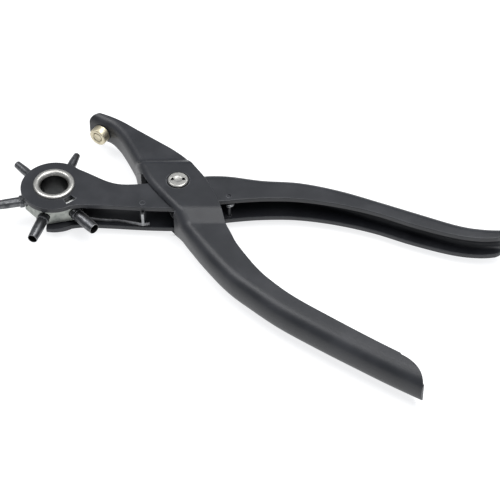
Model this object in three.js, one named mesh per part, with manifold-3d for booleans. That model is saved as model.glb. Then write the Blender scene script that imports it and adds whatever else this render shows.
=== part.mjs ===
// Rotary hole punch for leather: two pressed-steel channel levers on one pivot bolt, a six-tube turret
// on a hollow rivet in the long-jawed lever, and a brass anvil on the jaw of the other lever.
// Millimetres. +Z is the pivot axis; the handles point towards +X and the turret towards -X.
import * as THREE from 'three';
import { mergeVertices } from 'three/addons/utils/BufferGeometryUtils.js';
import Module from 'manifold-3d';

const wasm = await Module();
wasm.setup();

// ---------------------------------------------------------------- driving sizes

const REST_HEIGHT = 11; // mid-plane above the surface the tool lies on
const GAUGE = 2.3; // thickness of the lever steel
const HALF = 7.4; // half the outer height of a lever
const SADDLE_HALF = 10.1; // half the outer height where the anvil lever straddles the other one
const BEND = 4.5; // outside radius of the folds, except where a handle's back is rounder
const FIT = 0.15; // radial play of a fixed pin in its hole
const CLEAR = 0.3; // gap between faces that rest on each other

const SHANK_R = 3.4; // pivot bolt
const BOLT_HEAD_R = 4.6;
const HEAD_POCKET_R = 5.2; // pocket in the saddle that takes the bolt head

const HUB = new THREE.Vector2(-55, 0); // turret axis
const HUB_APOTHEM = 12.3;
const HUB_HALF = 4.6;
const HEAD = new THREE.Vector2(-55, -0.7); // centre of the turret lever's round head
const HEAD_R = 14.8;
const AXLE_R = 7.3;
const AXLE_BORE_R = 6;
const AXLE_FLANGE_R = 9.2;

const TUBE_COUNT = 6;
const TUBE_PHASE = 12.5; // direction of the first tube, degrees from +X
const TUBE_TIP = 27.4; // tip of a tube from the turret axis
const TUBE_SIZES = [2, 2.5, 3, 3.5, 4, 4.5]; // hole diameters, in turret order from the first tube
const WORKING_TUBE = 1;

const CLOSE_ANGLE = 15.3; // turn of the anvil lever from open to a tube on the anvil, degrees
const ANVIL_R = 4.2;
const ANVIL_STAND = 4.2; // anvil face proud of the jaw

// ---------------------------------------------------------------- shared making functions

const rad = THREE.MathUtils.degToRad;
const inPlan = (x, y) => new THREE.Vector2(x, y);

// direction in plan, from an angle in degrees
function heading(angle) {
  return inPlan(Math.cos(rad(angle)), Math.sin(rad(angle)));
}

// positions only, shared vertices, no collapsed triangles, faces pointing out
function cleaned(geometry) {
  const bare = geometry.clone();
  bare.deleteAttribute('normal');
  bare.deleteAttribute('uv');
  const merged = mergeVertices(bare, 1e-3);
  const place = merged.attributes.position;
  const corner = [new THREE.Vector3(), new THREE.Vector3(), new THREE.Vector3()];
  const kept = [];
  let volume = 0;
  for (let i = 0; i < merged.index.count; i += 3) {
    const [a, b, c] = [0, 1, 2].map((k) => merged.index.getX(i + k));
    if (a === b || b === c || c === a) continue;
    kept.push(a, b, c);
    [a, b, c].forEach((index, k) => corner[k].fromBufferAttribute(place, index));
    volume += corner[0].dot(corner[1].clone().cross(corner[2]));
  }
  if (volume < 0) kept.reverse();
  merged.setIndex(kept);
  return merged;
}

function solid(geometry) {
  const merged = cleaned(geometry);
  return new wasm.Manifold(new wasm.Mesh({
    numProp: 3,
    vertProperties: new Float32Array(merged.attributes.position.array),
    triVerts: new Uint32Array(merged.index.array),
  }));
}

function geometryOf(body) {
  const mesh = body.getMesh();
  const geometry = new THREE.BufferGeometry();
  geometry.setAttribute('position', new THREE.BufferAttribute(mesh.vertProperties, 3));
  geometry.setIndex(new THREE.BufferAttribute(mesh.triVerts, 1));
  return geometry;
}

// an outline pushed up from one height to another
function prism(shape, low, high, curveSegments = 16) {
  const geometry = new THREE.ExtrudeGeometry(shape, { depth: high - low, bevelEnabled: false, curveSegments });
  return solid(geometry.translate(0, 0, low));
}

// a closed [radius, height] profile turned about the Z axis through a point in plan
function turned(profile, centre = inPlan(0, 0), segments = 32) {
  const points = [...profile, profile[0]].map(([radius, height]) => new THREE.Vector2(radius, height));
  const geometry = new THREE.LatheGeometry(points, segments).rotateX(Math.PI / 2);
  return solid(geometry.translate(centre.x, centre.y, 0));
}

function ring(outer, inner, low, high, centre, segments) {
  return turned([[inner, low], [outer, low], [outer, high], [inner, high]], centre, segments);
}

function rod(radius, low, high, centre, segments) {
  return turned([[0, low], [radius, low], [radius, high], [0, high]], centre, segments);
}

// wire of round section along a list of points
function wire(points, radius, steps, sides = 8) {
  const section = new THREE.Shape().absarc(0, 0, radius, 0, 2 * Math.PI);
  const path = new THREE.CatmullRomCurve3(points, false, 'centripetal');
  const options = { steps, extrudePath: path, curveSegments: sides / 2 };
  return solid(new THREE.ExtrudeGeometry(section, options));
}

// closed skin over a row of equal sections, each a loop of points, with flat ends
function lofted(sections, flatSection) {
  const size = sections[0].length;
  const positions = sections.flat().flatMap((point) => [point.x, point.y, point.z]);
  const index = [];
  for (let s = 0; s + 1 < sections.length; s += 1) {
    for (let k = 0; k < size; k += 1) {
      const a = s * size + k;
      const b = s * size + (k + 1) % size;
      index.push(a, b, b + size, a, b + size, a + size);
    }
  }
  const last = (sections.length - 1) * size;
  for (const [a, b, c] of THREE.ShapeUtils.triangulateShape(flatSection, [])) {
    index.push(c, b, a, last + a, last + b, last + c);
  }
  const geometry = new THREE.BufferGeometry();
  geometry.setAttribute('position', new THREE.Float32BufferAttribute(positions, 3));
  geometry.setIndex(index);
  return geometry;
}

// C section of a folded lever: reach across the lever from the web, height about the mid-plane
function channelSection(width, half, bend) {
  const cornerSteps = 4;
  const arc = (radius, side) => Array.from({ length: cornerSteps + 1 }, (_, i) => {
    const turn = (Math.PI / 2) * (i / cornerSteps);
    return inPlan(bend - radius * Math.sin(turn), side * (half - bend + radius * Math.cos(turn)));
  });
  const inner = bend - GAUGE;
  return [
    inPlan(width, half), ...arc(bend, 1), ...arc(bend, -1).reverse(), inPlan(width, -half),
    inPlan(width, GAUGE - half), ...arc(inner, -1), ...arc(inner, 1).reverse(), inPlan(width, half - GAUGE),
  ];
}

// A folded lever through rungs [web x, web y, free x, free y, half height, fold radius]: each rung runs
// across the lever from the outer face of its web to its open edge.
function channel(rungs, stepsPerRung = 2) {
  const line = (column) => new THREE.CatmullRomCurve3(
    rungs.map((rung) => new THREE.Vector3(rung[column], rung[column + 1], 0)), false, 'catmullrom', 0.5);
  const web = line(0);
  const free = line(2);
  const spans = rungs.length - 1;
  const sections = [];
  let flatSection;
  for (let i = 0; i <= spans * stepsPerRung; i += 1) {
    const t = i / (spans * stepsPerRung);
    const span = Math.min(Math.floor(t * spans + 1e-9), spans - 1);
    const [half, bend] = [4, 5].map((column) => (
      THREE.MathUtils.lerp(rungs[span][column], rungs[span + 1][column], t * spans - span)));
    const from = web.getPoint(t);
    const across = free.getPoint(t).sub(from);
    const width = across.length();
    across.normalize();
    flatSection = channelSection(width, half, bend);
    sections.push(flatSection.map((p) => new THREE.Vector3(
      from.x + across.x * p.x, from.y + across.y * p.x, p.y)));
  }
  return solid(lofted(sections, flatSection));
}

// takes off a corner of a lever's end: curve from one point to another round a corner point
function cornerCut(start, corner, end, outside) {
  const shape = new THREE.Shape().moveTo(start.x, start.y);
  shape.quadraticCurveTo(corner.x, corner.y, end.x, end.y);
  outside.forEach((point) => shape.lineTo(point.x, point.y));
  return prism(shape, -20, 20, 10);
}

const object = new THREE.Group();
object.name = 'rotary_hole_punch';

const FINISHES = {
  black: { color: 0x26282b, roughness: 0.45, metalness: 0.3 },
  nickel: { color: 0xb9bcbe, roughness: 0.3, metalness: 0.95 },
  hub: { color: 0x9aa39c, roughness: 0.4, metalness: 0.9 },
  tube: { color: 0x5b5e60, roughness: 0.35, metalness: 0.9 },
  brass: { color: 0xcbbd8c, roughness: 0.35, metalness: 0.9 },
  springSteel: { color: 0x8e9296, roughness: 0.35, metalness: 0.95 },
};

function piece(name, body, finish) {
  const geometry = geometryOf(body).translate(0, 0, REST_HEIGHT);
  const mesh = new THREE.Mesh(geometry, new THREE.MeshStandardMaterial(FINISHES[finish]));
  mesh.name = name;
  object.add(mesh);
}

// ---------------------------------------------------------------- turret lever

const SADDLE_CUT_HALF = SADDLE_HALF - GAUGE - 0.05; // just short of the saddle's inner faces
const POST = inPlan(-15.5, -11.4); // index spring post
const POST_R = 1.5;
const SPRING_PIN = inPlan(22.5, -7); // opening spring hooks round this
const SPRING_PIN_R = 0.9;
const SPRING_PIN_HALF = 7.1; // flush with the cheeks, which are lower here
const JAW_CHEEK_END = 11; // the flat cheeks of the jaw run into the handle's channel to here

// outline of a cheek from the round head to the pivot
function jawCheek() {
  const shape = new THREE.Shape().moveTo(JAW_CHEEK_END, 4.3);
  shape.bezierCurveTo(4, 5.6, -8, 0.4, -22, 0.2);
  shape.bezierCurveTo(-31, 0.1, -34, 4.2, -44.6, 9.9);
  shape.absarc(HEAD.x, HEAD.y, HEAD_R, rad(45.5), rad(-58), false);
  shape.quadraticCurveTo(-44.8, -12.6, -42.5, -12.6);
  shape.bezierCurveTo(-30, -12.7, -18, -14.6, -2, -14.7);
  shape.bezierCurveTo(3, -14.2, 6, -11.9, JAW_CHEEK_END, -11.4);
  return shape;
}

// curved slot along a circle round the turret axis
function numberWindow() {
  const middle = 11.8;
  const halfWidth = 1.6;
  const centre = -51;
  const spread = 11.5;
  const shape = new THREE.Shape();
  shape.absarc(HUB.x, HUB.y, middle + halfWidth, rad(centre - spread), rad(centre + spread), false);
  const capOne = heading(centre + spread).multiplyScalar(middle).add(HUB);
  shape.absarc(capOne.x, capOne.y, halfWidth, rad(centre + spread), rad(centre + spread + 180), false);
  shape.absarc(HUB.x, HUB.y, middle - halfWidth, rad(centre + spread), rad(centre - spread), true);
  const capTwo = heading(centre - spread).multiplyScalar(middle).add(HUB);
  shape.absarc(capTwo.x, capTwo.y, halfWidth, rad(centre - spread + 180), rad(centre - spread + 360), false);
  return prism(shape, 0, 20, 12);
}

// the lower cheek stops short round three tubes, so that a worn tube can be taken out
function tubeAccessCut() {
  const reach = 10.4;
  const edge = HUB.x - 3.4;
  const block = new THREE.Shape([inPlan(-80, -20), inPlan(edge, -20), inPlan(edge, 20), inPlan(-80, 20)]);
  return prism(block, -20, 0).subtract(rod(reach, -21, 1, HUB));
}

const turretHandle = channel([
  [8.5, 7.2, 8.5, -11.8, HALF, BEND],
  [14, 8, 14, -11, HALF, BEND],
  [23, 7.8, 22.5, -9.7, 7.2, BEND],
  [37.3, 5.3, 36, -8.3, 7.1, BEND],
  [54.2, 3.9, 52, -8.4, 7, BEND],
  [71.9, -0.9, 68.8, -11.3, 6.9, BEND],
  [89.3, -8, 86, -16.5, 6.9, BEND],
  [106.3, -15.2, 103, -23.9, 6.8, BEND],
  [123.2, -22.1, 120.2, -30, 6.7, BEND],
  [134, -24.2, 132.5, -32, 6.5, BEND],
  [143.5, -24.4, 143, -31.1, 6.3, BEND],
]);

function turretLever() {
  const cheek = jawCheek();
  const upper = prism(cheek, HALF - GAUGE, HALF);
  const lower = prism(cheek, -HALF, GAUGE - HALF).subtract(tubeAccessCut());
  const endCorner = cornerCut(
    inPlan(136, -32.2), inPlan(143.6, -31.4), inPlan(144, -24.8), [inPlan(150, -24), inPlan(150, -40), inPlan(136, -40)]);
  return turretHandle.subtract(endCorner).add(upper).add(lower)
    .subtract(rod(AXLE_R + FIT, -20, 20, HUB, 40))
    .subtract(rod(SHANK_R + FIT, -20, 20))
    .subtract(rod(POST_R - 0.5 + FIT, -20, 20, POST, 20))
    .subtract(rod(SPRING_PIN_R + FIT, -20, 20, SPRING_PIN, 16))
    .subtract(numberWindow());
}
piece('turret_lever', turretLever(), 'black');

// ---------------------------------------------------------------- anvil lever

const workingHeading = heading(TUBE_PHASE + 60 * WORKING_TUBE);
const closedFace = HUB.clone().addScaledVector(workingHeading, TUBE_TIP);
const anvilFace = closedFace.clone().rotateAround(inPlan(0, 0), rad(-CLOSE_ANGLE));
const anvilAngle = TUBE_PHASE + 60 * WORKING_TUBE - CLOSE_ANGLE; // from the face back into the jaw
const anvilAxis = heading(anvilAngle);

// a turned profile along the anvil's axis, height 0 at the anvil's face and positive into the jaw
function alongAnvil(profile, segments = 24) {
  const points = [...profile, profile[0]].map(([radius, height]) => new THREE.Vector2(radius, height));
  const geometry = new THREE.LatheGeometry(points, segments).rotateZ(rad(anvilAngle - 90));
  return solid(geometry.translate(anvilFace.x, anvilFace.y, 0));
}

const seat = anvilFace.clone().addScaledVector(anvilAxis, ANVIL_STAND); // on the outer face of the web
const alongJaw = heading(anvilAngle + 90);
const jawTip = seat.clone().addScaledVector(alongJaw, 7.4);
const jawSeatEnd = seat.clone().addScaledVector(alongJaw, -4.6);

const anvilChannel = channel([
  [jawTip.x, jawTip.y, jawTip.x + 5.2, jawTip.y + 1.5, HALF, BEND],
  [seat.x, seat.y, seat.x + 4.4, seat.y + 2.9, HALF, BEND],
  [jawSeatEnd.x, jawSeatEnd.y, -26, 40.5, HALF, BEND],
  [-27.9, 33, -19, 35, HALF, BEND],
  [-24.7, 26.8, -11, 28.8, HALF, BEND],
  [-22, 20.8, -2.6, 22.2, HALF, BEND],
  [-19.9, 15.8, 3.8, 15.8, HALF, BEND],
  [-18.5, 11.3, 6, 11.3, SADDLE_HALF, BEND],
  [-14.6, 1.7, 12, 1.7, SADDLE_HALF, BEND],
  [-8.2, -8, 16.3, -8, SADDLE_HALF, BEND],
  [-1.6, -16.8, 19.4, -16.8, SADDLE_HALF, BEND],
  [1.5, -23.3, 21.2, -23.3, HALF, 5.2],
  [5.9, -31.3, 23.8, -29.8, HALF, 6],
  [12.5, -42, 26.7, -36.6, HALF, 6.4],
  [21.1, -53.7, 34.8, -49.8, HALF, 6.4],
  [29.8, -62.4, 42.1, -58.4, HALF, 6.4],
  [42.7, -74.1, 51.5, -67.1, HALF, 6.4],
  [59.4, -86.2, 66.9, -78.5, HALF, 6.4],
  [75.7, -97.2, 82.3, -89.4, HALF, 6.4],
  [88.2, -105.4, 95.1, -98, HALF, 6.4],
  [101.5, -113.6, 106.6, -105.3, HALF, 6.4],
]);

// room for the turret lever between the saddle's cheeks, from open to closed
function passage() {
  const outline = [inPlan(-40, 6.6), inPlan(40, 6.6), inPlan(40, -16.7), inPlan(-40, -16.7)];
  return prism(new THREE.Shape(outline), -SADDLE_CUT_HALF, SADDLE_CUT_HALF);
}

function pivotPocket(side) {
  const floor = SADDLE_HALF - GAUGE / 2;
  return side > 0 ? rod(HEAD_POCKET_R, floor, 20) : rod(HEAD_POCKET_R, -20, -floor);
}

function anvilLever() {
  const endCorner = cornerCut(
    inPlan(93.6, -97.6), inPlan(101.8, -102.8), inPlan(102.2, -112),
    [inPlan(108, -116), inPlan(112, -104), inPlan(98, -90)]);
  return anvilChannel.subtract(endCorner).subtract(passage())
    .subtract(rod(SHANK_R + FIT, -20, 20))
    .subtract(pivotPocket(1))
    .subtract(pivotPocket(-1))
    .subtract(alongAnvil([[0, -1], [1.75, -1], [1.75, 12], [0, 12]]));
}
piece('anvil_lever', anvilLever(), 'black');

// ---------------------------------------------------------------- anvil and its rivet

const RIVET_R = 1.6;
const TAIL_START = ANVIL_STAND + GAUGE + CLEAR;

piece('anvil', alongAnvil([
  [RIVET_R + FIT, 1.2], [2.6, 0], [ANVIL_R - 0.4, 0], [ANVIL_R, 0.4], [ANVIL_R, ANVIL_STAND - CLEAR],
  [RIVET_R + FIT, ANVIL_STAND - CLEAR],
]), 'brass');

piece('anvil_rivet', alongAnvil([
  [0, 0.25], [2.0, 0.25], [RIVET_R, 0.9], [RIVET_R, TAIL_START], [2.7, TAIL_START], [2.4, TAIL_START + 0.9],
  [1.2, TAIL_START + 1.3], [0, TAIL_START + 1.3],
]), 'brass');

// ---------------------------------------------------------------- turret hub and punch tubes

const SOCKET_R = 2.2;
const SOCKET_FLOOR = 9.4;

function hexagon(apothem, phase) {
  const corners = Array.from({ length: TUBE_COUNT }, (_, k) => (
    heading(phase + 60 * k).multiplyScalar(apothem / Math.cos(rad(30))).add(HUB)));
  return new THREE.Shape(corners);
}

// a turned profile along a tube's axis, height measured out from the turret axis
function alongTube(profile, index, segments = 16) {
  const points = [...profile, profile[0]].map(([radius, height]) => new THREE.Vector2(radius, height));
  const geometry = new THREE.LatheGeometry(points, segments).rotateZ(rad(TUBE_PHASE + 60 * index - 90));
  return solid(geometry.translate(HUB.x, HUB.y, 0));
}

function turretHub() {
  const roundCorners = rod(13.7, -HUB_HALF, HUB_HALF, HUB, 60);
  let hub = prism(hexagon(HUB_APOTHEM, TUBE_PHASE), -HUB_HALF, HUB_HALF).intersect(roundCorners);
  hub = hub.subtract(rod(AXLE_R + FIT, -20, 20, HUB, 40));
  for (let k = 0; k < TUBE_COUNT; k += 1) {
    hub = hub.subtract(alongTube([[0, SOCKET_FLOOR], [SOCKET_R + FIT, SOCKET_FLOOR], [SOCKET_R + FIT, 20], [0, 20]], k));
  }
  return hub;
}
piece('turret_hub', turretHub(), 'hub');

// threaded root in the hub, a shoulder, then a tapered body that is bored from its cutting edge
function punchTube(index) {
  const bore = TUBE_SIZES[index] / 2;
  const tip = Math.max(bore + 0.2, 1.5);
  const body = Math.max(tip + 0.25, 2);
  return alongTube([
    [0, SOCKET_FLOOR + CLEAR], [SOCKET_R, SOCKET_FLOOR + CLEAR], [SOCKET_R, 14], [2.75, 14], [2.75, 16],
    [body, 16.6], [body, 22], [tip, TUBE_TIP], [bore, TUBE_TIP], [bore, 17.2], [0, 17.2],
  ], index);
}
for (let k = 0; k < TUBE_COUNT; k += 1) {
  piece(`punch_tube_${k + 1}`, punchTube(k), 'tube');
}

// ---------------------------------------------------------------- turret axle and its washers

const SPACE = HALF - GAUGE; // inner face of a cheek from the mid-plane
const FLANGE_FOOT = HALF + 0.05;

piece('turret_axle', turned([
  [AXLE_BORE_R, -8.2], [AXLE_R - 0.2, -8.2], [AXLE_R, -8], [AXLE_R, FLANGE_FOOT], [AXLE_FLANGE_R, FLANGE_FOOT],
  [AXLE_FLANGE_R, HALF + 0.5], [AXLE_FLANGE_R - 0.5, HALF + 1], [AXLE_FLANGE_R - 1.3, HALF + 1.15],
  [7, HALF + 0.9], [6.5, HALF + 0.2], [AXLE_BORE_R, HALF - 1.2],
], HUB, 40), 'nickel');

piece('turret_axle_ring', turned([
  [AXLE_R + FIT, -HALF - 0.05], [AXLE_R + FIT, -HALF - 0.8], [AXLE_R + 0.7, -HALF - 1.1],
  [AXLE_FLANGE_R - 0.4, -HALF - 1], [AXLE_FLANGE_R, -HALF - 0.6], [AXLE_FLANGE_R, -HALF - 0.05],
], HUB, 40), 'nickel');

piece('turret_washer_upper', ring(10.4, AXLE_R + FIT, HUB_HALF + 0.08, SPACE - 0.08, HUB), 'springSteel');
piece('turret_washer_lower', ring(10.4, AXLE_R + FIT, 0.08 - SPACE, -HUB_HALF - 0.08, HUB), 'springSteel');

// ---------------------------------------------------------------- pivot bolt, nut, bush and washers

const POCKET_FLOOR = SADDLE_HALF - GAUGE / 2;
const SPANNER_HOLE_R = 0.65;
const SPANNER_HOLE_AT = 2.5;

function spannerHoles(low, high) {
  return rod(SPANNER_HOLE_R, low, high, inPlan(-SPANNER_HOLE_AT, 0), 16)
    .add(rod(SPANNER_HOLE_R, low, high, inPlan(SPANNER_HOLE_AT, 0), 16));
}

piece('pivot_bolt', turned([
  [0, -9.8], [SHANK_R - 0.4, -9.8], [SHANK_R, -9.4], [SHANK_R, POCKET_FLOOR + 0.05],
  [BOLT_HEAD_R, POCKET_FLOOR + 0.05], [BOLT_HEAD_R, SADDLE_HALF + 0.3], [BOLT_HEAD_R - 0.5, SADDLE_HALF + 0.8],
  [0, SADDLE_HALF + 0.8],
]).subtract(spannerHoles(SADDLE_HALF - 0.4, 20)), 'nickel');

piece('pivot_nut', turned([
  [0, -REST_HEIGHT], [BOLT_HEAD_R - 0.4, -REST_HEIGHT], [BOLT_HEAD_R, 0.4 - REST_HEIGHT],
  [BOLT_HEAD_R, -POCKET_FLOOR - 0.05], [SHANK_R + FIT, -POCKET_FLOOR - 0.05], [SHANK_R + FIT, -9.95], [0, -9.95],
]).subtract(spannerHoles(-20, 0.6 - REST_HEIGHT)), 'nickel');

const BUSH_R = 5;
piece('pivot_bush', ring(BUSH_R, SHANK_R + FIT, 0.06 - SPACE, SPACE - 0.06), 'springSteel');
const WASHER_R = 9;
piece('pivot_washer_upper', ring(WASHER_R, SHANK_R + FIT, HALF + 0.05, SADDLE_HALF - GAUGE - 0.05), 'springSteel');
piece('pivot_washer_lower', ring(WASHER_R, SHANK_R + FIT, GAUGE + 0.05 - SADDLE_HALF, -HALF - 0.05), 'springSteel');

// ---------------------------------------------------------------- springs and what holds them

const WIRE_R = 0.8;
const COIL_R = 6.6;
const COIL_TURNS = 3;
const COIL_PITCH = 1.75;

// torsion spring: hooked on the pin in the turret lever, coiled round the bush, bearing on the anvil
// lever's web
function openingSpring() {
  const top = (COIL_TURNS * COIL_PITCH) / 2 + 0.3;
  const points = [];
  const hookR = SPRING_PIN_R + WIRE_R + 0.15;
  for (let angle = -120; angle <= 90; angle += 35) {
    const place = heading(angle).multiplyScalar(hookR).add(SPRING_PIN);
    points.push(new THREE.Vector3(place.x, place.y, top));
  }
  points.push(new THREE.Vector3(15, -5.6, top), new THREE.Vector3(7, -6.3, top));
  const startAngle = 270;
  const endAngle = startAngle - 360 * COIL_TURNS - 58;
  const steps = COIL_TURNS * 12 + 2;
  for (let i = 0; i <= steps; i += 1) {
    const share = i / steps;
    const place = heading(THREE.MathUtils.lerp(startAngle, endAngle, share)).multiplyScalar(COIL_R);
    points.push(new THREE.Vector3(place.x, place.y, THREE.MathUtils.lerp(top, -top, share)));
  }
  points.push(new THREE.Vector3(-0.4, -12, -top), new THREE.Vector3(5.6, -21.8, -top));
  points.push(new THREE.Vector3(11.2, -31, -top));
  return wire(points, WIRE_R, 96, 6);
}
piece('opening_spring', openingSpring(), 'springSteel');
piece('opening_spring_pin', rod(SPRING_PIN_R, -SPRING_PIN_HALF, SPRING_PIN_HALF, SPRING_PIN, 16), 'nickel');

const STRIP_LOW = -4.6;
const STRIP_HIGH = -2.9;
const STRIP_HALF = 0.3; // half the strip's thickness

// leaf spring whose free end lies on a flat of the hub; its tail shows below the jaw's edge
function indexSpring() {
  const flatHeading = heading(TUBE_PHASE - 30);
  const alongFlat = heading(TUBE_PHASE + 60);
  const onFlat = (distance) => flatHeading.clone().multiplyScalar(HUB_APOTHEM + CLEAR + 2 * STRIP_HALF)
    .addScaledVector(alongFlat, distance).add(HUB);
  const line = [
    inPlan(-12.6, -13.2), inPlan(-15.5, -13.6), inPlan(-19, -12.9), inPlan(-26, -11.4), inPlan(-34, -10.9),
    inPlan(-39.4, -9.9), onFlat(-5), onFlat(-2.5), onFlat(0.5), onFlat(2.6),
  ];
  const curve = new THREE.SplineCurve(line);
  const samples = curve.getPoints(40);
  const side = (sign) => samples.map((point, i) => {
    const ahead = samples[Math.min(i + 1, samples.length - 1)];
    const behind = samples[Math.max(i - 1, 0)];
    const across = ahead.clone().sub(behind).normalize().rotateAround(inPlan(0, 0), Math.PI / 2);
    return point.clone().addScaledVector(across, sign * STRIP_HALF);
  });
  const strip = prism(new THREE.Shape([...side(1), ...side(-1).reverse()]), STRIP_LOW, STRIP_HIGH);
  const tail = new THREE.Shape([inPlan(STRIP_LOW, -13.6), inPlan(4.8, -12.9), inPlan(4.8, -16.2),
    inPlan(STRIP_LOW, -14)]);
  return strip.add(indexSpringTail(tail));
}

// the tail's wedge, drawn as height against depth and given a small width along the jaw
function indexSpringTail(shape) {
  const geometry = new THREE.ExtrudeGeometry(shape, { depth: 1.2, bevelEnabled: false });
  geometry.applyMatrix4(new THREE.Matrix4().makeBasis(
    new THREE.Vector3(0, 0, 1), new THREE.Vector3(0, 1, 0), new THREE.Vector3(1, 0, 0)));
  return solid(geometry.translate(-16, 0, 0));
}
piece('index_spring', indexSpring(), 'springSteel');
piece('index_spring_post', turned([
  [0, -HALF], [POST_R - 0.5, -HALF], [POST_R - 0.5, 0.05 - SPACE], [POST_R, 0.05 - SPACE], [POST_R, SPACE - 0.05],
  [POST_R - 0.5, SPACE - 0.05], [POST_R - 0.5, HALF], [0, HALF],
], POST, 20), 'nickel');

export default object;
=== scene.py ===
import math

import bmesh
import bpy
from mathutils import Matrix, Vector
from mathutils.kdtree import KDTree


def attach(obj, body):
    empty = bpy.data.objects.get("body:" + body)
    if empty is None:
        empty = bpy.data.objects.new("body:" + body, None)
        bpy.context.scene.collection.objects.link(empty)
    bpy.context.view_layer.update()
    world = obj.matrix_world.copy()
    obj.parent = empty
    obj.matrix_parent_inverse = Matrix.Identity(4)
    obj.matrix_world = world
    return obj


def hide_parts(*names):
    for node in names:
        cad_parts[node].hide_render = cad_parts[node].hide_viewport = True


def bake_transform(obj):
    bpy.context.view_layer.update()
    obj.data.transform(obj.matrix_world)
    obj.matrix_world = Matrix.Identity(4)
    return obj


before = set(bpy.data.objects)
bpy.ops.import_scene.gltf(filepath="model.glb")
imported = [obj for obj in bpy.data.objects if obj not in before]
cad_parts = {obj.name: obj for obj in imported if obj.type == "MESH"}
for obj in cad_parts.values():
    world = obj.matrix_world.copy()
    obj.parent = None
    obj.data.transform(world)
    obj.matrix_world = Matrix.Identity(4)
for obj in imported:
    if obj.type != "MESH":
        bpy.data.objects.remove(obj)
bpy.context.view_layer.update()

# ---------------------------------------------------------------- turret lever
# The long lever that carries the turret: sheet steel folded to a channel, whose two cheeks run
# forward past the pivot to a round head. Pressed and pierced, then coated in satin black powder.

MM = 0.001
REST_HEIGHT = 11  # the tool's middle plane above the table, mm
GAUGE = 2.3
HALF = 7.4  # half the lever's outer height
FOLD = 4.5  # outside radius of a fold
FIT = 0.15
HUB_AT = (-55, 0)
HEAD_AT = (-55, -0.7)
HEAD_R = 14.8
AXLE_R = 7.3
SHANK_R = 3.4
POST_AT = (-15.5, -11.4)
SPRING_PIN_AT = (22.5, -7)
PIN_R = 0.9
THROUGH = 40  # longer than any wall that a hole goes through


def point(x, y, z=0):
    """A place in mm from the pivot, with z from the middle plane, as metres above the table."""
    return Vector((x, y, z + REST_HEIGHT)) * MM


def heading(degrees, length=1):
    """A step in plan of the given length, in mm."""
    return Vector((math.cos(math.radians(degrees)), math.sin(math.radians(degrees)), 0)) * length


def deselect():
    for thing in list(bpy.context.selected_objects):
        thing.select_set(False)


def added(name):
    """The primitive that was just added, with its place put into its mesh."""
    bpy.ops.object.transform_apply(location=True, rotation=True, scale=True)
    piece = bpy.context.object
    piece.name = piece.data.name = name
    return piece


def start_drawing(name, first):
    """A new piece that is one point, open in edit mode, to be drawn on by extruding."""
    deselect()
    bpy.ops.mesh.primitive_plane_add(size=MM, location=first)
    piece = added(name)
    bpy.ops.object.mode_set(mode="EDIT")
    bpy.ops.mesh.select_mode(type="VERT")
    bpy.ops.mesh.merge(type="CENTER")
    return piece


def draw_through(places):
    """Extrude the selected point from the first place through all the others."""
    for before, after in zip(places, places[1:]):
        bpy.ops.mesh.extrude_region_move(TRANSFORM_OT_translate={"value": after - before})


def pick_edges(piece, wanted):
    """Select the edges whose two ends both pass the test."""
    bpy.ops.mesh.select_mode(type="EDGE")
    mesh = bmesh.from_edit_mesh(piece.data)
    for edge in mesh.edges:
        edge.select = all(wanted(vertex.co) for vertex in edge.verts)
    mesh.select_flush_mode()
    bmesh.update_edit_mesh(piece.data)


def tidy_skin():
    """Merge doubles and turn every face outwards, in edit mode."""
    bpy.ops.mesh.select_all(action="SELECT")
    bpy.ops.mesh.remove_doubles(threshold=0.002 * MM)
    bpy.ops.mesh.normals_make_consistent(inside=False)


def close_drawing():
    bpy.ops.object.mode_set(mode="OBJECT")


def apply_modifier(piece, kind, **settings):
    """Add a modifier to a piece, set it and apply it."""
    deselect()
    piece.select_set(True)
    bpy.context.view_layer.objects.active = piece
    modifier = piece.modifiers.new(kind.title(), kind)
    for name, value in settings.items():
        setattr(modifier, name, value)
    bpy.ops.object.modifier_apply(modifier=modifier.name)


def combine(piece, tool, operation="DIFFERENCE"):
    """Cut a tool out of a piece, or weld it on, and throw the tool away."""
    apply_modifier(piece, "BOOLEAN", operation=operation, object=tool, solver="EXACT")
    bpy.data.objects.remove(tool)


def rod(name, radius, low, high, at=(0, 0), sides=64):
    deselect()
    bpy.ops.mesh.primitive_cylinder_add(
        vertices=sides, radius=radius * MM, depth=(high - low) * MM, location=point(*at, (low + high) / 2))
    return added(name)


def pierce(piece, radius, at=(0, 0), low=-THROUGH, high=THROUGH, sides=64):
    combine(piece, rod("piercing_punch", radius, low, high, at, sides))


def plate(name, outline, low, high):
    """A flat plate: its outline is drawn, filled and pushed up."""
    places = [point(x, y, low) for x, y in outline]
    piece = start_drawing(name, places[0])
    draw_through(places)
    bpy.ops.mesh.select_all(action="SELECT")
    bpy.ops.mesh.edge_face_add()
    bpy.ops.mesh.extrude_region_move(TRANSFORM_OT_translate={"value": (0, 0, (high - low) * MM)})
    tidy_skin()
    close_drawing()
    return piece


def break_edges(piece, width=0.35, segments=3, angle=38):
    """Round the sharp edges a little."""
    apply_modifier(
        piece, "BEVEL", width=width * MM, segments=segments, limit_method="ANGLE",
        angle_limit=math.radians(angle), use_clamp_overlap=False, loop_slide=False)


def shade_smooth(piece, angle=40):
    """Shade the curved faces smooth, and keep the flat ones flat."""
    deselect()
    piece.select_set(True)
    bpy.context.view_layer.objects.active = piece
    bpy.ops.object.shade_smooth_by_angle(angle=math.radians(angle))
    apply_modifier(piece, "WEIGHTED_NORMAL", keep_sharp=True, weight=80)


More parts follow.
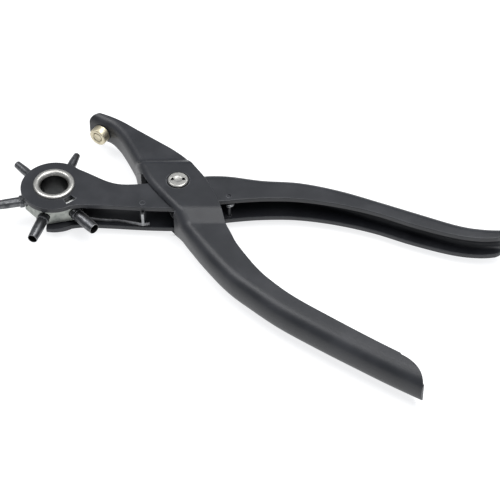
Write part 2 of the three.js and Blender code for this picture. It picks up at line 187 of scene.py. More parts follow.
def smooth_line(corners, steps):
    """A smooth line through places in plan, as (x, y, height) in mm."""
    line = []
    last = len(corners) - 1
    for i in range(last * steps + 1):
        span = min(i // steps, last - 1)
        share = i / steps - span
        p1, p2 = Vector(corners[span]), Vector(corners[span + 1])
        p0 = Vector(corners[span - 1]) if span > 0 else 2 * p1 - p2
        p3 = Vector(corners[span + 2]) if span + 2 <= last else 2 * p2 - p1
        curved = p1 + (p2 - p0) * share / 2
        curved += (2 * p0 - 5 * p1 + 4 * p2 - p3) * share ** 2 / 2
        curved += (3 * p1 - p0 - 3 * p2 + p3) * share ** 3 / 2
        curved.z = p1.z + (p2.z - p1.z) * share
        line.append(curved)
    return line


def bent_line(start, first_pull, second_pull, end, steps=16):
    """Points of a Bezier curve in plan, without its first one."""
    handles = [Vector(place) for place in (start, first_pull, second_pull, end)]
    shares = [i / steps for i in range(1, steps + 1)]
    return [tuple(
        handles[0] * (1 - t) ** 3 + handles[1] * 3 * t * (1 - t) ** 2
        + handles[2] * 3 * t * t * (1 - t) + handles[3] * t ** 3) for t in shares]


def arc_line(centre, radius, start, end, steps):
    """Points along an arc in plan, from one heading to another, ends included."""
    middle = Vector((*centre, 0))
    turns = [start + (end - start) * i / steps for i in range(steps + 1)]
    return [tuple((middle + heading(turn, radius)).xy) for turn in turns]


def folded_channel(name, rungs, steps=6, fold_steps=7):
    """A folded sheet: each rung runs from the web's outer face across the cheek to its free edge.
    Then come half the outer height and the fold's outside radius.

    Lines are drawn along the lever, from the middle of the web round the fold to the free edge and
    back inside, and bridged to a skin, which is mirrored and closed at its two ends.
    """
    web = smooth_line([(x, y, half) for x, y, _, _, half, _ in rungs], steps)
    free = smooth_line([(x, y, half) for _, _, x, y, half, _ in rungs], steps)
    folds = [spot.z for spot in smooth_line([(x, y, fold) for x, y, _, _, _, fold in rungs], steps)]
    across = [(b - a).normalized() for a, b in zip(web, free)]

    def fold_line(turn, depth):
        """The line at one turn of the fold, at a depth below the outer face."""
        return [
            a + step * (fold - (fold - depth) * math.sin(turn))
            - Vector((0, 0, fold - (fold - depth) * math.cos(turn)))
            for a, step, fold in zip(web, across, folds)]

    turns = [math.radians(90 * i / fold_steps) for i in range(fold_steps + 1)]
    lines = [[Vector((a.x, a.y, 0)) for a in web]]
    lines += [fold_line(turn, 0) for turn in reversed(turns)]
    lines += [free, [spot - Vector((0, 0, GAUGE)) for spot in free]]
    lines += [fold_line(turn, GAUGE) for turn in turns]
    lines += [[Vector((a.x, a.y, 0)) + step * GAUGE for a, step in zip(web, across)]]
    lines = [[point(*spot) for spot in line] for line in lines]

    piece = start_drawing(name, lines[0][0])
    draw_through(lines[0])
    for before, line in zip(lines, lines[1:]):
        bpy.ops.mesh.select_all(action="DESELECT")
        bpy.ops.mesh.select_mode(type="VERT")
        bpy.ops.mesh.primitive_plane_add(size=MM, location=line[0])
        bpy.ops.mesh.merge(type="CENTER")
        draw_through(line)
        ends = KDTree(2 * len(line))
        for i, spot in enumerate(before + line):
            ends.insert(spot, i)
        ends.balance()
        pick_edges(piece, lambda place: ends.find(place)[2] < 0.01 * MM)
        bpy.ops.mesh.bridge_edge_loops()
    tidy_skin()
    close_drawing()
    deselect()
    bpy.ops.object.empty_add(location=point(0, 0))
    middle = bpy.context.object
    apply_modifier(
        piece, "MIRROR", use_axis=(False, False, True), mirror_object=middle,
        merge_threshold=0.01 * MM)
    bpy.data.objects.remove(middle)
    bpy.ops.object.mode_set(mode="EDIT")
    bpy.ops.mesh.select_all(action="SELECT")
    bpy.ops.mesh.fill_holes(sides=0)
    tidy_skin()
    close_drawing()
    return piece


def trim_end(piece, start, corner, end, outside):
    """Round off the corner of a lever's end."""
    start, corner, end = Vector(start), Vector(corner), Vector(end)
    pulls = start.lerp(corner, 2 / 3), end.lerp(corner, 2 / 3)
    outline = [tuple(start)] + bent_line(start, *pulls, end, 12) + outside
    combine(piece, plate("end_trimmer", outline, -THROUGH, THROUGH))


turret_lever = folded_channel("turret_lever_steel", [
    (8.5, 7.2, 8.5, -11.8, HALF, FOLD),
    (14, 8, 14, -11, HALF, FOLD),
    (23, 7.8, 22.5, -9.7, 7.2, FOLD),
    (37.3, 5.3, 36, -8.3, 7.1, FOLD),
    (54.2, 3.9, 52, -8.4, 7, FOLD),
    (71.9, -0.9, 68.8, -11.3, 6.9, FOLD),
    (89.3, -8, 86, -16.5, 6.9, FOLD),
    (106.3, -15.2, 103, -23.9, 6.8, FOLD),
    (123.2, -22.1, 120.2, -30, 6.7, FOLD),
    (134, -24.2, 132.5, -32, 6.5, FOLD),
    (143.5, -24.4, 143, -31.1, 6.3, FOLD),
])
trim_end(
    turret_lever, (136, -32.2), (143.6, -31.4), (143.9, -24.3), [(150, -24), (150, -40), (136, -40)])

cheek = [(11, 4.3)]
cheek += bent_line(cheek[-1], (4, 5.6), (-8, 0.4), (-22, 0.2))
cheek += bent_line(cheek[-1], (-31, 0.1), (-34, 4.2), (-44.6, 9.9))
cheek += arc_line(HEAD_AT, HEAD_R, 48, 302, 60)
cheek += bent_line(cheek[-1], (-45.7, -12.9), (-44, -12.6), (-42.5, -12.6), 6)
cheek += bent_line(cheek[-1], (-30, -12.7), (-18, -14.6), (-2, -14.7))
cheek += bent_line(cheek[-1], (3, -14.2), (6, -11.9), (11, -11.4))
upper_cheek = plate("upper_cheek", cheek, HALF - GAUGE, HALF)
lower_cheek = plate("lower_cheek", cheek, -HALF, GAUGE - HALF)

# three tubes are left clear below, so that a worn one can be unscrewed
clearance = plate("tube_clearance", [(-80, -20), (-58.4, -20), (-58.4, 20), (-80, 20)], -THROUGH, 0)
pierce(clearance, 10.4, HUB_AT)
combine(lower_cheek, clearance)
for pressing in (turret_lever, upper_cheek, lower_cheek):
    break_edges(pressing)
combine(turret_lever, upper_cheek, "UNION")
combine(turret_lever, lower_cheek, "UNION")
for hole_radius, hole_at in [
        (AXLE_R + FIT, HUB_AT), (SHANK_R + FIT, (0, 0)), (1 + FIT, POST_AT), (PIN_R + FIT, SPRING_PIN_AT)]:
    pierce(turret_lever, hole_radius, hole_at)

# the curved window over the turret, through which a tube's size is read
window = start_drawing("number_window", point(*HUB_AT, 0) + heading(-62.5, 10.2) * MM)
bpy.ops.mesh.extrude_region_move(TRANSFORM_OT_translate={"value": heading(-62.5, 3.2) * MM})
bpy.ops.mesh.select_all(action="SELECT")
bpy.ops.mesh.spin(
    steps=12, angle=-math.radians(23), center=point(*HUB_AT), axis=(0, 0, 1))
tidy_skin()
bpy.ops.mesh.extrude_region_move(TRANSFORM_OT_translate={"value": (0, 0, THROUGH * MM)})
tidy_skin()
close_drawing()
combine(turret_lever, window)
shade_smooth(turret_lever)


class Shade:
    """A socket of a shader, on which sums are written as plain arithmetic."""

    def __init__(self, tree, socket=None):
        self.tree = tree
        self.socket = socket

    def make(self, kind, settings, inputs, output=0):
        """Add a node: its settings are set first, then the values or links of its sockets."""
        node = self.tree.nodes.new(kind)
        for name, value in settings.items():
            setattr(node, name, value)
        for name, value in inputs.items():
            self.join(value, node.inputs[name])
        return Shade(self.tree, node.outputs[output])

    def join(self, value, socket):
        if isinstance(value, Shade):
            self.tree.links.new(value.socket, socket)
        else:
            socket.default_value = value

    def sum(self, operation, first, second):
        return self.make("ShaderNodeMath", {"operation": operation}, {0: first, 1: second})

    def __add__(self, other):
        return self.sum("ADD", self, other)

    def __radd__(self, other):
        return self.sum("ADD", other, self)

    def __sub__(self, other):
        return self.sum("SUBTRACT", self, other)

    def __rsub__(self, other):
        return self.sum("SUBTRACT", other, self)

    def __mul__(self, other):
        return self.sum("MULTIPLY", self, other)

    def __rmul__(self, other):
        return self.sum("MULTIPLY", other, self)

    def between(self, low, high):
        """0 below the low value and 1 above the high one, with a soft step between."""
        return self.make(
            "ShaderNodeMapRange", {"interpolation_type": "SMOOTHSTEP"},
            {"Value": self, "From Min": low, "From Max": high})

    def colours(self, first, second):
        """One colour where the value is 0, and the other where it is 1."""
        first, second = [c if isinstance(c, Shade) else (*c, 1) for c in (first, second)]
        return self.make("ShaderNodeMix", {"data_type": "RGBA"}, {0: self, 6: first, 7: second}, 2)


class Finish:
    """A surface finish: one material, with the patterns that its maps are made from."""

    def __init__(self, name, **constants):
        self.material = bpy.data.materials.new(name)
        self.material.use_nodes = True
        tree = self.material.node_tree
        self.sockets = tree.nodes["Principled BSDF"].inputs
        for socket, value in constants.items():
            self.sockets[socket.replace("_", " ")].default_value = value
        self.shade = Shade(tree)
        self.place = self.shade.make("ShaderNodeTexCoord", {}, {}, 3)

    def grain(self, size, detail=2, stretch=(1, 1, 1)):
        """Noise from 0 to 1 whose patches are about so many mm across."""
        place = self.shade.make("ShaderNodeMapping", {}, {"Vector": self.place, "Scale": stretch})
        return self.shade.make(
            "ShaderNodeTexNoise", {}, {"Vector": place, "Scale": 1 / (size * MM), "Detail": detail})

    def edges(self, width):
        """1 along the corners of a piece, fading to 0 within the width in mm."""
        rounded = self.shade.make("ShaderNodeBevel", {"samples": 6}, {"Radius": width * MM})
        flat = self.shade.make("ShaderNodeNewGeometry", {}, {}, 1)
        facing = self.shade.make(
            "ShaderNodeVectorMath", {"operation": "DOT_PRODUCT"}, {0: rounded, 1: flat}, 1)
        return (1 - facing).between(0.01, 0.16)

    def bump(self, *layers):
        """Stack bumps, each a height pattern with its depth in mm and a strength."""
        normal = None
        for height, depth, strength in layers:
            inputs = {"Height": height, "Distance": depth * MM, "Strength": strength}
            if normal:
                inputs["Normal"] = normal
            normal = self.shade.make("ShaderNodeBump", {}, inputs)
        self.feed(Normal=normal)

    def feed(self, **maps):
        for socket, value in maps.items():
            self.shade.join(value, self.sockets[socket.replace("_", " ")])

    def coat(self, piece):
        """Give the piece this finish all over."""
        piece.data.materials.clear()
        piece.data.materials.append(self.material)


BLACK = (0.011, 0.012, 0.015)
BLACK_FADED = (0.02, 0.021, 0.025)
# painted highlight: the corners' grey is lighter than worn coat alone, standing in for the light that the
# rims catch
BLACK_WORN_AND_LIT = (0.17, 0.175, 0.19)

# baked powder coat: a fine orange peel, thinner and greyer on the corners, where the grey is partly real
# wear and partly a painted highlight along the rims, a little polished by hands
powder = Finish("satin_black_powder_coat", Specular_IOR_Level=0.45)
peel = powder.grain(0.9, 1)
pores = powder.grain(0.28, 0)
clouds = powder.grain(14, 4)
rubs = powder.grain(3.5, 5)
corner_wear_and_highlight = powder.edges(0.55) * rubs.between(0.3, 0.55)
faded = clouds.between(0.35, 0.7).colours(BLACK, BLACK_FADED)
powder.feed(
    Base_Color=(0.75 * corner_wear_and_highlight).colours(faded, BLACK_WORN_AND_LIT),
    Roughness=0.33 + 0.1 * clouds + 0.08 * pores - 0.05 * corner_wear_and_highlight)
powder.bump((peel, 0.05, 0.35), (pores, 0.02, 0.3))
powder.coat(turret_lever)
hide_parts("turret_lever")
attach(turret_lever, "turret_lever_body")


# ---------------------------------------------------------------- anvil lever
# The shorter-jawed lever, folded from the same sheet. It widens to a saddle that straddles the
# turret lever at the pivot, and is open on both sides there so that the other lever passes through.

SADDLE_HALF = 10.1
POCKET_R = 5.2
POCKET_FLOOR = SADDLE_HALF - GAUGE / 2
TUBE_PHASE = 12.5  # heading of the first tube
TUBE_TIP = 27.4
CLOSE_ANGLE = 15.3
ANVIL_STAND = 4.2  # how far the anvil's face stands out from the jaw

working_heading = TUBE_PHASE + 60
closed_face = heading(working_heading, TUBE_TIP) + Vector((*HUB_AT, 0))
open_heading = working_heading - CLOSE_ANGLE
face_turn = math.radians(CLOSE_ANGLE)
anvil_face = Vector((
    closed_face.x * math.cos(face_turn) + closed_face.y * math.sin(face_turn),
    closed_face.y * math.cos(face_turn) - closed_face.x * math.sin(face_turn), 0))
seat = anvil_face + heading(open_heading, ANVIL_STAND)
jaw_tip = seat + heading(open_heading + 90, 7.4)
jaw_seat_end = seat - heading(open_heading + 90, 4.6)

anvil_lever = folded_channel("anvil_lever_steel", [
    (jaw_tip.x, jaw_tip.y, jaw_tip.x + 5.2, jaw_tip.y + 1.5, HALF, FOLD),
    (seat.x, seat.y, seat.x + 4.4, seat.y + 2.9, HALF, FOLD),
    (jaw_seat_end.x, jaw_seat_end.y, -26, 40.5, HALF, FOLD),
    (-27.9, 33, -19, 35, HALF, FOLD),
    (-24.7, 26.8, -11, 28.8, HALF, FOLD),
    (-22, 20.8, -2.6, 22.2, HALF, FOLD),
    (-19.9, 15.8, 3.8, 15.8, HALF, FOLD),
    (-18.5, 11.3, 6, 11.3, SADDLE_HALF, FOLD),
    (-14.6, 1.7, 12, 1.7, SADDLE_HALF, FOLD),
    (-8.2, -8, 16.3, -8, SADDLE_HALF, FOLD),
    (-1.6, -16.8, 19.4, -16.8, SADDLE_HALF, FOLD),
    (1.5, -23.3, 21.2, -23.3, HALF, 5.2),
    (5.9, -31.3, 23.8, -29.8, HALF, 6),
    (12.5, -42, 26.7, -36.6, HALF, 6.4),
    (21.1, -53.7, 34.8, -49.8, HALF, 6.4),
    (29.8, -62.4, 42.1, -58.4, HALF, 6.4),
    (42.7, -74.1, 51.5, -67.1, HALF, 6.4),
    (59.4, -86.2, 66.9, -78.5, HALF, 6.4),
    (75.7, -97.2, 82.3, -89.4, HALF, 6.4),
    (88.2, -105.4, 95.1, -98, HALF, 6.4),
    (101.5, -113.6, 106.6, -105.3, HALF, 6.4),
])
trim_end(
    anvil_lever, (93.6, -97.6), (101.8, -102.8), (102.2, -112), [(108, -116), (112, -104), (98, -90)])
passage_half = SADDLE_HALF - GAUGE - 0.05
combine(anvil_lever, plate(
    "passage", [(-40, 6.6), (40, 6.6), (40, -16.7), (-40, -16.7)], -passage_half, passage_half))
break_edges(anvil_lever)
pierce(anvil_lever, SHANK_R + FIT)
pierce(anvil_lever, POCKET_R, low=POCKET_FLOOR)
pierce(anvil_lever, POCKET_R, high=-POCKET_FLOOR)


FULL_TURN = 2 * math.pi


def turned(name, profile, foot=(0, 0, 0), axis=(0, 0, 1), steps=64):
    """A turned piece: the profile's radius and height are in mm, with height along the axis."""
    places = [Vector((radius, 0, height)) * MM for radius, height in profile]
    piece = start_drawing(name, places[0])
    draw_through(places)
    bpy.ops.mesh.select_all(action="SELECT")
    bpy.ops.mesh.spin(steps=steps, angle=FULL_TURN, center=(0, 0, 0), axis=(0, 0, 1))
    tidy_skin()
    close_drawing()
    piece.rotation_mode = "QUATERNION"
    piece.rotation_quaternion = Vector((0, 0, 1)).rotation_difference(Vector(axis))
    piece.location = point(*foot)
    return added(name)


rivet_hole = turned(
    "rivet_hole", [(0, -1), (1.75, -1), (1.75, 12), (0, 12)], anvil_face, heading(open_heading))
combine(anvil_lever, rivet_hole)
shade_smooth(anvil_lever)
powder.coat(anvil_lever)
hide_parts("anvil_lever")
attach(anvil_lever, "anvil_lever_body")

# ---------------------------------------------------------------- pivot bolt, nut, bush and washers
# A turned steel bolt whose low round head and nut sit in pockets of the saddle. Both take a pin
# spanner in two small holes. Nickel plated, with hard steel washers and a bush between the levers.

BOLT_HEAD_R = 4.6
SPANNER_OFFSET = 2.5
SPANNER_HOLE_R = 0.65

nickel = Finish("nickel_plate", Metallic=1.0)
haze = nickel.grain(3.5, 4)
scuffs = nickel.grain(0.35, 3, (1, 1, 0.35))
nickel_edge = nickel.edges(0.35)
nickel.feed(
    Base_Color=haze.between(0.3, 0.75).colours((0.52, 0.51, 0.48), (0.37, 0.365, 0.35)),
    Roughness=0.27 + 0.16 * haze + 0.12 * scuffs - 0.08 * nickel_edge)
nickel.bump((scuffs, 0.008, 0.4))

# painted shade: a dark, mottled finish in the holes and bores of the plated pieces, where shade falls
bore_shade = Finish("painted_shade_bore", Metallic=1.0)
bore_shade_mottle = bore_shade.grain(2.5, 4)
bore_shade.feed(
    Base_Color=bore_shade_mottle.colours((0.03, 0.032, 0.034), (0.09, 0.092, 0.09)),
    Roughness=0.22 + 0.25 * bore_shade_mottle)
bore_shade.bump((bore_shade_mottle, 0.02, 0.3))


def coat_faces(piece, finish, wanted):
    """Give a second finish to the faces whose every corner passes the test."""
    piece.data.materials.append(finish.material)
    bpy.context.view_layer.objects.active = piece
    bpy.ops.object.mode_set(mode="EDIT")
    bpy.ops.mesh.select_mode(type="FACE")
    mesh = bmesh.from_edit_mesh(piece.data)
    for face in mesh.faces:
        face.select = all(wanted(vertex.co / MM) for vertex in face.verts)
    bmesh.update_edit_mesh(piece.data)
    piece.active_material_index = len(piece.data.materials) - 1
    bpy.ops.object.material_slot_assign()
    close_drawing()


def finish_edges(piece, width, segments, angle):
    break_edges(piece, width, segments, angle)
    shade_smooth(piece)


def spanner_holes(piece, low, high):
    """The two small holes, either side of the middle, that a pin spanner fits."""
    for side in (-SPANNER_OFFSET, SPANNER_OFFSET):
        pierce(piece, SPANNER_HOLE_R, (side, 0), low, high, 24)


bolt_top = SADDLE_HALF + 0.8
pivot_bolt = turned("pivot_bolt_turned", [
    (0, -9.8), (SHANK_R - 0.4, -9.8), (SHANK_R, -9.4), (SHANK_R, POCKET_FLOOR + 0.05),
    (BOLT_HEAD_R, POCKET_FLOOR + 0.05), (BOLT_HEAD_R, SADDLE_HALF + 0.3), (BOLT_HEAD_R - 0.5, bolt_top),
    (1.9, bolt_top), (1.7, bolt_top - 0.25), (0, bolt_top - 0.3)])
spanner_holes(pivot_bolt, SADDLE_HALF - 0.4, THROUGH)
finish_edges(pivot_bolt, 0.15, 2, 30)
nickel.coat(pivot_bolt)
# painted shade in the spanner holes of the bolt's head
coat_faces(pivot_bolt, bore_shade, lambda spot: (
    spot.z > REST_HEIGHT + POCKET_FLOOR + 0.1
    and math.hypot(abs(spot.x) - SPANNER_OFFSET, spot.y) < SPANNER_HOLE_R + 0.07))
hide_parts("pivot_bolt")
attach(pivot_bolt, "turret_lever_body")

pivot_nut = turned("pivot_nut_turned", [
    (0, -REST_HEIGHT), (BOLT_HEAD_R - 0.4, -REST_HEIGHT), (BOLT_HEAD_R, 0.4 - REST_HEIGHT),
    (BOLT_HEAD_R, -POCKET_FLOOR - 0.05), (SHANK_R + FIT, -POCKET_FLOOR - 0.05), (SHANK_R + FIT, -9.95),
    (0, -9.95)])
spanner_holes(pivot_nut, -THROUGH, 0.6 - REST_HEIGHT)
finish_edges(pivot_nut, 0.15, 2, 30)
nickel.coat(pivot_nut)
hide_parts("pivot_nut")
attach(pivot_nut, "turret_lever_body")

hard_steel = Finish("hard_spring_steel", Metallic=1.0)
temper = hard_steel.grain(2.5, 4)
drawn_lines = hard_steel.grain(0.25, 2, (0.3, 1, 1))
hard_steel.feed(
    Base_Color=temper.between(0.3, 0.75).colours((0.33, 0.335, 0.34), (0.21, 0.215, 0.22)),
    Roughness=0.24 + 0.18 * temper + 0.1 * drawn_lines)
hard_steel.bump((drawn_lines, 0.01, 0.4))
for node in ("pivot_bush", "pivot_washer_upper", "pivot_washer_lower"):
    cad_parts[node].data.materials[0] = hard_steel.material

# ---------------------------------------------------------------- turret hub
# A six-sided block of steel that turns on the hollow axle, with a threaded socket in each corner.
# Milled, tumbled and plated a dull grey.

HUB_APOTHEM = 12.3
HUB_HALF = 4.6
SOCKET_R = 2.2
SOCKET_FLOOR = 9.4
CORNER_R = 13.7
RING_INNER_R = 10.6
RING_OUTER_R = 12.2
RING_TOP = 5

hub_steel = Finish("dull_plated_steel", Metallic=1.0)
tumbled = hub_steel.grain(2.2, 5)
milling = hub_steel.grain(0.3, 2, (1, 1, 0.2))
hub_edge = hub_steel.edges(0.5)
hub_steel.feed(
    Base_Color=tumbled.between(0.3, 0.75).colours((0.34, 0.355, 0.33), (0.2, 0.215, 0.2)),
    Roughness=0.3 + 0.18 * tumbled + 0.08 * milling - 0.08 * hub_edge)
hub_steel.bump((milling, 0.012, 0.4), (tumbled, 0.05, 0.2))

deselect()
bpy.ops.mesh.primitive_cylinder_add(
    vertices=6, radius=HUB_APOTHEM / math.cos(math.pi / 6) * MM, depth=2 * HUB_HALF * MM,
    location=point(*HUB_AT), rotation=(0, 0, math.radians(TUBE_PHASE - 30)))
hub = added("turret_hub_block")
combine(hub, rod("round_corners", CORNER_R, -HUB_HALF - 1, HUB_HALF + 1, HUB_AT, 96), "INTERSECT")
pierce(hub, AXLE_R + FIT, HUB_AT)
for k in range(6):
    socket = turned(
        "socket", [(0, SOCKET_FLOOR), (SOCKET_R + FIT, SOCKET_FLOOR), (SOCKET_R + FIT, 20), (0, 20)],
        (*HUB_AT, 0), heading(TUBE_PHASE + 60 * k), 32)
    combine(hub, socket)
finish_edges(hub, 0.45, 3, 30)

# the low bright ring under the window
number_ring = turned("number_ring", [
    (RING_INNER_R, HUB_HALF - 0.2), (RING_OUTER_R, HUB_HALF - 0.2), (RING_OUTER_R, RING_TOP - 0.1),
    (RING_OUTER_R - 0.1, RING_TOP), (RING_INNER_R + 0.1, RING_TOP), (RING_INNER_R, RING_TOP - 0.1),
    (RING_INNER_R, HUB_HALF - 0.2)], (*HUB_AT, 0), steps=96)
combine(hub, number_ring, "UNION")
shade_smooth(hub)
hub_steel.coat(hub)
dial_metal = Finish("satin_dial_metal", Metallic=0.55)
dial_brush = dial_metal.grain(0.25, 2, (1, 0.25, 1))
dial_metal.feed(
    Base_Color=dial_brush.colours((0.72, 0.74, 0.72), (0.86, 0.87, 0.85)),
    Roughness=0.42 + 0.15 * dial_brush)
dial_metal.bump((dial_brush, 0.01, 0.3))
coat_faces(hub, dial_metal, lambda spot: spot.z > REST_HEIGHT + HUB_HALF + 0.02)
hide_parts("turret_hub")
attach(hub, "turret_body")

# ---------------------------------------------------------------- punch tubes
# Six hardened tubes, one for each size of hole: a threaded root in the hub, a round shoulder, and a
# tapered body bored from its cutting edge. Turned, hardened and oil blackened, bright at the edge.

TUBE_SIZES = (2, 2.5, 3, 3.5, 4, 4.5)  # hole diameters, in turret order

tube_steel = Finish("blackened_tube_steel", Metallic=1.0)
scale_marks = tube_steel.grain(1.8, 5)
turning = tube_steel.grain(0.22, 1)
tube_edge = tube_steel.edges(0.3)
tube_colour = scale_marks.between(0.3, 0.7).colours((0.16, 0.162, 0.168), (0.075, 0.077, 0.082))
tube_steel.feed(
    Base_Color=(0.8 * tube_edge).colours(tube_colour, (0.42, 0.42, 0.42)),
    Roughness=0.26 + 0.16 * scale_marks + 0.08 * turning)
tube_steel.bump((turning, 0.01, 0.4))

for k, size in enumerate(TUBE_SIZES):
    bore = size / 2
    tip = max(bore + 0.2, 1.5)
    body = max(tip + 0.25, 2)
    tube = turned(f"punch_tube_{k + 1}_turned", [
        (0, SOCKET_FLOOR + 0.3), (SOCKET_R, SOCKET_FLOOR + 0.3), (SOCKET_R, 14), (2.55, 14), (2.75, 14.2),
        (2.75, 15.8), (2.55, 16), (2.2, 16.05), (body, 16.6), (body, 22), (tip, TUBE_TIP - 0.15),
        (tip - 0.1, TUBE_TIP), (bore, TUBE_TIP), (bore, 17.2), (0, 17.2)],
        (*HUB_AT, 0), heading(TUBE_PHASE + 60 * k), 48)
    bpy.ops.object.shade_smooth_by_angle(angle=math.radians(30))
    tube_steel.coat(tube)
    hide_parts(f"punch_tube_{k + 1}")
    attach(tube, "turret_body")

# ---------------------------------------------------------------- turret axle and washers
# A hollow rivet through both cheeks. Its rolled flange is on top, and a ring is pressed on below.
# Nickel-plated brass, worn bright, with thin steel washers above and below the hub.

AXLE_BORE_R = 6
FLANGE_R = 9.2

axle = turned("turret_axle_turned", [
    (AXLE_BORE_R, -8.2), (AXLE_R - 0.2, -8.2), (AXLE_R, -8), (AXLE_R, HALF + 0.05), (FLANGE_R, HALF + 0.05),
    (FLANGE_R, HALF + 0.45), (FLANGE_R - 0.15, HALF + 0.75), (FLANGE_R - 0.5, HALF + 1),
    (FLANGE_R - 1, HALF + 1.12), (FLANGE_R - 1.5, HALF + 1.12), (7.1, HALF + 0.95), (6.7, HALF + 0.5),
    (6.4, HALF), (6.15, HALF - 0.6), (AXLE_BORE_R, HALF - 1.4), (AXLE_BORE_R, -8.2)],
    (*HUB_AT, 0), steps=96)
bpy.ops.object.shade_smooth_by_angle(angle=math.radians(40))
nickel.coat(axle)
# painted shade on the walls of the axle's bore
coat_faces(axle, bore_shade, lambda spot: (
    spot.z < REST_HEIGHT + HALF - 0.5 and (Vector(HUB_AT) - spot.xy).length < AXLE_BORE_R + 0.3))
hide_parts("turret_axle")
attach(axle, "turret_lever_body")

axle_ring = turned("turret_axle_ring_turned", [
    (AXLE_R + FIT, -HALF - 0.05), (AXLE_R + FIT, -HALF - 0.8), (AXLE_R + 0.7, -HALF - 1.1),
    (FLANGE_R - 0.4, -HALF - 1), (FLANGE_R, -HALF - 0.6), (FLANGE_R, -HALF - 0.05),
    (AXLE_R + FIT, -HALF - 0.05)], (*HUB_AT, 0), steps=96)
bpy.ops.object.shade_smooth_by_angle(angle=math.radians(30))
nickel.coat(axle_ring)
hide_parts("turret_axle_ring")
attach(axle_ring, "turret_lever_body")

for node in ("turret_washer_upper", "turret_washer_lower"):
    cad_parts[node].data.materials[0] = hard_steel.material

# ---------------------------------------------------------------- anvil and its rivet
# A soft brass disc, so that the tubes' edges aren't dulled, held on the jaw by a rivet whose head
# sits in a countersink in the anvil's face.

brass = Finish("soft_brass", Metallic=1.0)
tarnish = brass.grain(1.6, 4)
dents = brass.grain(0.5, 2)
brass_edge = brass.edges(0.3)
brass_colour = tarnish.between(0.3, 0.75).colours((0.62, 0.57, 0.43), (0.46, 0.41, 0.3))
brass.feed(
    Base_Color=(0.6 * brass_edge).colours(brass_colour, (0.74, 0.68, 0.51)),
    Roughness=0.38 + 0.2 * tarnish)
brass.bump((dents, 0.03, 0.4))

RIVET_R = 1.6
TAIL_START = ANVIL_STAND + GAUGE + 0.3
anvil = turned("anvil_turned", [
    (RIVET_R + FIT, 1.2), (2.6, 0.05), (2.7, 0), (3.75, 0), (4, 0.07), (4.13, 0.2), (4.2, 0.45),
    (4.2, ANVIL_STAND - 0.3), (RIVET_R + FIT, ANVIL_STAND - 0.3), (RIVET_R + FIT, 1.2)],
    anvil_face, heading(open_heading))
bpy.ops.object.shade_smooth_by_angle(angle=math.radians(30))
anvil_rivet = turned("anvil_rivet_turned", [
    (0, 0.25), (1.9, 0.25), (2, 0.35), (RIVET_R, 0.9), (RIVET_R, TAIL_START), (2.7, TAIL_START),
    (2.65, TAIL_START + 0.4), (2.4, TAIL_START + 0.9), (1.9, TAIL_START + 1.15), (1.2, TAIL_START + 1.3),
    (0, TAIL_START + 1.3)], anvil_face, heading(open_heading), 48)
bpy.ops.object.shade_smooth_by_angle(angle=math.radians(40))
for piece, node in ((anvil, "anvil"), (anvil_rivet, "anvil_rivet")):
    brass.coat(piece)
    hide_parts(node)
    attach(piece, "anvil_lever_body")

# ---------------------------------------------------------------- opening spring and its pin
# A wire torsion spring coiled round the bush inside the turret lever. One leg hooks round a pin in
# the turret lever, and the other bears on the anvil lever's web and pushes the tool open.

WIRE_R = 0.8
COIL_R = 6.6
COIL_TURNS = 3
COIL_RISE = 2.925  # half the coil's height

hook_centre = Vector((*SPRING_PIN_AT, 0))
path = [hook_centre + heading(turn, PIN_R + WIRE_R + 0.15) for turn in range(-120, 91, 15)]
path = [spot + Vector((0, 0, COIL_RISE)) for spot in path]
path += [Vector((19, -5.25, COIL_RISE)), Vector((15, -5.6, COIL_RISE)), Vector((7, -6.3, COIL_RISE))]
coil_steps = COIL_TURNS * 30
for i in range(coil_steps + 1):
    share = i / coil_steps
    spot = heading(270 - (360 * COIL_TURNS + 58) * share, COIL_R)
    path.append(spot + Vector((0, 0, COIL_RISE * (1 - 2 * share))))
path += [Vector(spot) for spot in (
    (-2.6, -8.9, -COIL_RISE), (-0.4, -12, -COIL_RISE), (5.6, -21.8, -COIL_RISE), (11.2, -31, -COIL_RISE))]
path = [point(*spot) for spot in path]
opening_spring = start_drawing("opening_spring_wire", path[0])
draw_through(path)
close_drawing()
bpy.ops.object.convert(target="CURVE")
opening_spring.data.bevel_depth = WIRE_R * MM
opening_spring.data.bevel_resolution = 3
opening_spring.data.use_fill_caps = True
bpy.ops.object.convert(target="MESH")
opening_spring = bpy.context.object
bpy.ops.object.mode_set(mode="EDIT")
tidy_skin()
close_drawing()
bpy.ops.object.shade_smooth_by_angle(angle=math.radians(50))
hard_steel.coat(opening_spring)
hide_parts("opening_spring")
tuple(point(0, 0, COIL_RISE - 0.4))
tuple(point(0, 0, 0.4 - COIL_RISE))
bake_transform(opening_spring)

PIN_HALF = 7.1
spring_pin = turned("opening_spring_pin_turned", [
    (0, -PIN_HALF), (0.75, -PIN_HALF), (PIN_R, 0.15 - PIN_HALF), (PIN_R, PIN_HALF - 0.15),
    (0.75, PIN_HALF), (0, PIN_HALF)],
    (*SPRING_PIN_AT, 0), steps=24)
bpy.ops.object.shade_smooth_by_angle(angle=math.radians(30))
powder.coat(spring_pin)
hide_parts("opening_spring_pin")
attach(spring_pin, "turret_lever_body")

# ---------------------------------------------------------------- index spring and its post
# A leaf of spring steel that presses on a flat of the hub, so that the turret clicks into place. It
# is wound round a riveted post, and its bent tail shows below the jaw.

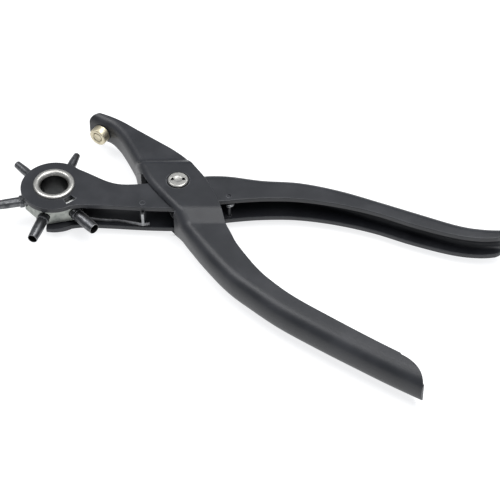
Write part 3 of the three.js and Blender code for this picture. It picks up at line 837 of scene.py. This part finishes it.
STRIP_HALF = 0.3
TAIL_AT = -16
TAIL_WIDE = 1.2
TAIL_TOP = 4.8
STRIP_LOW = -4.6
STRIP_HIGH = -2.9
flat_middle = heading(TUBE_PHASE - 30, HUB_APOTHEM + 0.3 + 2 * STRIP_HALF) + Vector((*HUB_AT, 0))
leaf_ends = [(-12.6, -13.2), (-15.5, -13.6), (-19, -12.9), (-26, -11.4), (-34, -10.9), (-39.4, -9.9)]
leaf_ends += [tuple((flat_middle + heading(TUBE_PHASE + 60, along)).xy) for along in (-5, -2.5, 0.5, 2.6)]
leaf_curve = smooth_line([(x, y, 0) for x, y in leaf_ends], 6)
leaf_line = [point(spot.x, spot.y, STRIP_LOW) for spot in leaf_curve]
index_spring = start_drawing("index_spring_leaf", leaf_line[0])
draw_through(leaf_line)
bpy.ops.mesh.select_all(action="SELECT")
bpy.ops.mesh.extrude_region_move(TRANSFORM_OT_translate={"value": (0, 0, (STRIP_HIGH - STRIP_LOW) * MM)})
close_drawing()
apply_modifier(index_spring, "SOLIDIFY", thickness=2 * STRIP_HALF * MM, offset=0, use_even_offset=True)
tail = start_drawing("index_spring_tail", point(TAIL_AT, -13.6, STRIP_LOW))
draw_through([point(TAIL_AT, y, z) for y, z in (
    (-13.6, STRIP_LOW), (-12.9, TAIL_TOP), (-16.2, TAIL_TOP), (-14, STRIP_LOW))])
bpy.ops.mesh.select_all(action="SELECT")
bpy.ops.mesh.edge_face_add()
bpy.ops.mesh.extrude_region_move(TRANSFORM_OT_translate={"value": (TAIL_WIDE * MM, 0, 0)})
tidy_skin()
close_drawing()
combine(index_spring, tail, "UNION")
finish_edges(index_spring, 0.12, 2, 40)
# painted shade: one strip of spring steel gets the dark blackened finish on its leaf, which lies in shade
# inside the lever, and the bright spring steel only on its tail, which shows below the jaw
tube_steel.coat(index_spring)
coat_faces(index_spring, hard_steel, lambda spot: -16.4 < spot.x < -14.4 and spot.y < -13.2)
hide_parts("index_spring")
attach(index_spring, "turret_lever_body")

post = turned("index_spring_post_turned", [
    (0, -HALF), (0.85, -HALF), (1, 0.15 - HALF), (1, -5.05), (1.5, -5.05), (1.5, 5.05), (1, 5.05),
    (1, HALF - 0.15), (0.85, HALF), (0, HALF)], (*POST_AT, 0), steps=32)
bpy.ops.object.shade_smooth_by_angle(angle=math.radians(30))
powder.coat(post)
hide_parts("index_spring_post")
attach(post, "turret_lever_body")

# ---------------------------------------------------------------- bench, lights and camera
# The tool lies on a plain white table under a wide soft light, with a smaller one on the left, in a
# room that is otherwise dim. The camera looks down at it from the front.

table = Finish("white_light_table", Emission_Strength=0.8)
table_grain = table.grain(60, 3)
table.feed(
    Base_Color=table_grain.colours((0.3, 0.3, 0.3), (0.33, 0.33, 0.33)),
    Roughness=0.6 + 0.1 * table_grain,
    Emission_Color=table_grain.colours((0.97, 0.98, 1), (1, 1, 1)))
deselect()
bpy.ops.mesh.primitive_plane_add(size=3, location=(0, 0.3, 0))
floor = added("table_top")
table.coat(floor)

world = bpy.data.worlds.new("dim_room")
bpy.context.scene.world = world
world.use_nodes = True
room_light = world.node_tree.nodes["Background"].inputs
room_light["Color"].default_value = (0.9, 0.94, 1, 1)
room_light["Strength"].default_value = 0.38


def soft_light(name, width, depth, power, place, aim):
    """A flat lamp at a place, pointed at its aim, with sizes in metres."""
    bpy.ops.object.light_add(type="AREA", location=place)
    light = bpy.context.object
    light.name = name
    light.data.shape = "RECTANGLE"
    light.data.size = width
    light.data.size_y = depth
    light.data.energy = power
    light.rotation_euler = (Vector(aim) - Vector(place)).to_track_quat("-Z", "Y").to_euler()


soft_light("overhead_softbox", 1.2, 0.5, 12, (0.3, -0.03, 0.95), (0.02, -0.03, 0))
soft_light("left_softbox", 0.45, 0.45, 4.5, (-0.48, 0.12, 0.85), (0, 0, 0))

CAMERA_PLACE = (0.03181, -0.63133, 0.65287)
CAMERA_TILT = math.radians(43)
bpy.ops.object.camera_add(location=CAMERA_PLACE, rotation=(CAMERA_TILT, 0, 0))
camera = bpy.context.object
camera.data.lens = 145.45
camera.data.sensor_width = 36
bpy.context.scene.camera = camera
bpy.context.scene.view_settings.view_transform = "Standard"
